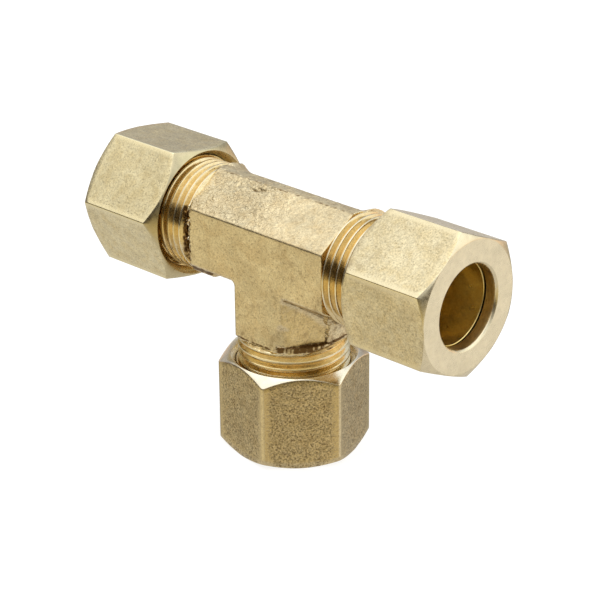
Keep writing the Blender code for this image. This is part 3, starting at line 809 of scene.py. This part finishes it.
# the loose sleeve of the right arm leans a degree in its nut
MIDDLE = Matrix.Translation(Vector((0.0, 0.0, (FACE["right"] - FER_BACK - 0.5 * FER_LEN) * MM)))
HANG = {"left": Matrix(), "branch": Matrix(),
        "right": MIDDLE @ Matrix.Rotation(math.radians(-1.0), 4, "Y") @ MIDDLE.inverted()}
for i, which in enumerate(("left", "right", "branch")):
    prefix = which + ("_run" if which != "branch" else "")
    clean = THREAD_COLOUR_AND_LIGHT[which]
    threads = brass(which + "_thread_brass", 5 + i, clean, (clean[0] * 0.90, clean[1] * 0.86, clean[2] * 0.76), 0.15, 6.0,
                    rings=8.0, specks=0.22, stains=0.25, roots=(MINOR - 0.1, 8.25), shade_and_grime="shade_and_grime")
    # paler brass on the thread crests, partly burnished and partly a painted highlight
    crest_highlight = brass(which + "_crest_highlight_brass", 25 + i, (0.94, 0.86, 0.64), (0.90, 0.78, 0.52), 0.30, 6.0, rings=6.0,
                   specks=0.20, stains=0.12)
    # the socket, nut hole and sleeve brass is kept bright and warm to stand in for light reaching into the bore:
    # painted light
    sockets = brass(which + "_socket_brass", 9 + i, (0.95, 0.77, 0.36), (0.90, 0.70, 0.30), 0.30, 5.0, rings=12.0,
                    specks=0.1, stains=0.25)
    turned = brass(which + "_turned_brass", 29 + i, TURNED_COLOUR_AND_LIGHT[which], tuple(0.98 * c for c in TURNED_COLOUR_AND_LIGHT[which]),
                   0.20 if which == "branch" else 0.27, 3.0, rings=1.6, specks=0.0, stains=0.05)
    hole = brass(which + "_hole_brass", 33 + i, (0.93, 0.75, 0.42), (0.88, 0.68, 0.34), 0.32, 4.0, rings=10.0,
                 specks=0.15, stains=0.20)
    clean = FLAT_COLOUR_AND_LIGHT[which]
    flats = brass(which + "_flat_brass", 13 + i, clean, (clean[0] * 0.90, clean[1] * 0.85, clean[2] * 0.75), 0.30, 18.0,
                  specks=SPECKS[which], stains=STAINS[which], wear_and_sheen="wear_and_sheen")
    nut_threads = brass(which + "_nut_thread_brass", 37 + i, (0.78, 0.58, 0.26), (0.66, 0.46, 0.18), 0.22, 6.0,
                        rings=8.0, specks=0.2, stains=0.3)
    sleeve = brass(which + "_sleeve_brass", 17 + i, (0.97, 0.78, 0.32), (0.93, 0.71, 0.26), 0.30, 4.0, rings=8.0,
                   specks=0.2, stains=0.25)
    p = spigot(which, START[which])
    co = points(p)
    # painted shade in the torn groove beside the left shoulder, which is partly darker torn metal as well
    groove_shade_and_dirt = np.zeros(len(co))
    if which == "left":
        up = np.degrees(np.arctan2(co[:, 0], -co[:, 1]))
        groove_shade_and_dirt = 1.1 * step(-58.0, -46.0, up) * step(38.0, 26.0, up) * step(15.55, 15.25, co[:, 2])
        groove_shade_and_dirt = groove_shade_and_dirt * (np.hypot(co[:, 0], co[:, 1]) > 7.0) * (0.70 + 0.9 * fractal(*co.T, 0.5, 2, 181))
    paint(p, "shade_and_grime", groove_shade_and_dirt)
    p.matrix_world = PLACE[which]
    dress(p, [threads, sockets, threads, crest_highlight], "body", "tee_body")
    p = nut(which)
    co = points(p)
    # paler rubbed margins along the nut's corners and beside its outer chamfer: partly real wear, partly a painted
    # highlight on the rounded corners
    off = (np.degrees(np.arctan2(co[:, 1], co[:, 0])) - TURN[which] + 30.0) % 60.0 - 30.0
    gap = np.radians(np.abs(off)) * np.hypot(co[:, 0], co[:, 1])
    lip = FACE[which] - NUT_OUT - co[:, 2]
    paint(p, "wear_and_sheen", np.clip(np.exp(-(gap / (1.15 if which == "branch" else 0.8)) ** 2) + 0.6 * np.exp(-(lip / 0.5) ** 2), 0.0, 1.0))
    p.matrix_world = PLACE[which]
    dress(p, [flats, turned, nut_threads, hole], which + "_nut", prefix + "_nut")
    p = ferrule(which)
    p.matrix_world = PLACE[which] @ HANG[which]
    dress(p, [sleeve], which + "_sleeve", prefix + "_ferrule")

# ------------------------------------------------------------------ camera
AZ, EL, ROLL = math.radians(42.297), math.radians(25.213), math.radians(-0.49)
back = Vector((math.sin(AZ) * math.cos(EL), -math.cos(AZ) * math.cos(EL), math.sin(EL)))
right = Vector((math.cos(AZ), math.sin(AZ), 0.0))
up = back.cross(right)
right2 = math.cos(ROLL) * right + math.sin(ROLL) * up
up2 = -math.sin(ROLL) * right + math.cos(ROLL) * up
cam_data = bpy.data.cameras.new("camera")
cam_data.sensor_fit = "HORIZONTAL"
cam_data.sensor_width = 36.0
cam_data.lens = 2235.142 * 36.0 / 600.0
cam_data.clip_start = 0.01
cam_data.clip_end = 20.0
cam = bpy.data.objects.new("camera", cam_data)
cam.matrix_world = Matrix((
    (right2.x, up2.x, back.x, 0.210002),
    (right2.y, up2.y, back.y, -0.229365),
    (right2.z, up2.z, back.z, 0.137017 + AXIS_Z * MM),
    (0.0, 0.0, 0.0, 1.0)))
bpy.context.scene.collection.objects.link(cam)
bpy.context.scene.camera = cam

# ------------------------------------------------------------------ floor and light
floor_mesh = bpy.data.meshes.new("floor")
floor_mesh.from_pydata([(-3, -3, 0), (3, -3, 0), (3, 3, 0), (-3, 3, 0)], [], [(0, 1, 2, 3)])
floor = bpy.data.objects.new("floor", floor_mesh)
floor.location.z = -0.0001
bpy.context.scene.collection.objects.link(floor)
fm = bpy.data.materials.new("pale_floor")
N = Nodes(fm)
out = N.new("ShaderNodeOutputMaterial")
add = N.new("ShaderNodeAddShader")
dif = N.new("ShaderNodeBsdfDiffuse")
dif.inputs["Color"].default_value = (0.35, 0.35, 0.35, 1.0)
emi = N.new("ShaderNodeEmission")
emi.inputs["Color"].default_value = (1.0, 1.0, 1.0, 1.0)
emi.inputs["Strength"].default_value = 0.80
N.join(dif.outputs[0], add.inputs[0])
N.join(emi.outputs[0], add.inputs[1])
N.join(add.outputs[0], out.inputs[0])
floor.data.materials.append(fm)
floor.visible_glossy = False

# Soft studio surroundings: a pale table below the horizon, a dark gap above its near
# edge, a bright sweep behind it on the right, and a wide diffuser overhead.  Each
# light is a span of elevations, a span of azimuths (None for all round) and a colour;
# spans are (low, high, softness) and (centre, half width, softness), in degrees.
LIGHTS = [
    ((-90, -31, 4), None, (0.70, 0.67, 0.62)),
    ((-31, -11, 4), None, (0.39, 0.365, 0.29)),
    ((-31, -11, 4), (250, 45, 25), (0.57, 0.51, 0.33)),
    ((-31, -11, 4), (38, 34, 20), (0.58, 0.58, 0.62)),
    ((-31, -11, 4), (336, 32, 14), (0.32, 0.22, 0.01)),
    ((-17, -4, 3), (128, 24, 12), (0.42, 0.48, 0.60)),
    ((-11, 6, 3), (60, 38, 22), (1.10, 0.88, 0.70)),
    ((-11, 6, 3), (160, 42, 20), (0.62, 0.50, 0.41)),
    ((-11, 24, 3), (265, 70, 25), (0.05, 0.04, 0.03)),
    ((6, 24, 3), (28, 42, 20), (1.25, 1.26, 1.20)),
    ((6, 24, 3), (130, 62, 20), (0.42, 0.42, 0.44)),
    ((24, 45, 4), None, (0.72, 0.76, 0.84)),
    ((24, 45, 4), (255, 80, 20), (0.38, 0.30, 0.14)),
    ((24, 45, 4), (40, 30, 20), (0.60, 0.62, 0.52)),
    ((45, 68, 4), None, (1.26, 1.29, 1.33)),
    ((68, 90, 4), None, (1.78, 1.76, 1.67)),
]


def surroundings(lights):
    world = bpy.data.worlds.new("studio")
    bpy.context.scene.world = world
    W = Nodes(world)
    out = W.new("ShaderNodeOutputWorld")
    bg = W.new("ShaderNodeBackground")
    W.join(bg.outputs[0], out.inputs[0])
    coord = W.new("ShaderNodeTexCoord")
    sep = W.new("ShaderNodeSeparateXYZ")
    W.join(coord.outputs["Generated"], sep.inputs[0])
    deg = 180.0 / math.pi
    height = W.math("MULTIPLY", W.math("ARCSINE", sep.outputs[2]), deg)
    turn = W.math("MULTIPLY", W.math("ARCTAN2", sep.outputs[1], sep.outputs[0]), deg)

    def fade(value, start, end):
        n = W.new("ShaderNodeMapRange", interpolation_type="SMOOTHSTEP")
        n.inputs["From Min"].default_value = start
        n.inputs["From Max"].default_value = end
        W.join(value, n.inputs["Value"])
        return n.outputs["Result"]

    total = None
    for (low, high, soft), sector, colour in lights:
        mask = None
        if low > -90:
            mask = fade(height, low - soft, low + soft)
        if high < 90:
            top = W.math("SUBTRACT", 1.0, fade(height, high - soft, high + soft))
            mask = top if mask is None else W.math("MULTIPLY", mask, top)
        if sector:
            centre, half, blur = sector
            off = W.math("FLOORED_MODULO", W.math("ADD", turn, 540.0 - centre), 360.0)
            off = W.math("ABSOLUTE", W.math("SUBTRACT", off, 180.0))
            side = W.math("SUBTRACT", 1.0, fade(off, half - blur, half + blur))
            mask = W.math("MULTIPLY", mask, side)
        scale = W.new("ShaderNodeVectorMath", operation="SCALE")
        scale.inputs[0].default_value = colour
        W.join(mask, scale.inputs["Scale"])
        if total is None:
            total = scale.outputs[0]
        else:
            plus = W.new("ShaderNodeVectorMath", operation="ADD")
            W.join(total, plus.inputs[0])
            W.join(scale.outputs[0], plus.inputs[1])
            total = plus.outputs[0]
    W.join(total, bg.inputs["Color"])
    bg.inputs["Strength"].default_value = 1.0
    return world


surroundings(LIGHTS)
bpy.context.scene.view_settings.view_transform = "Standard"
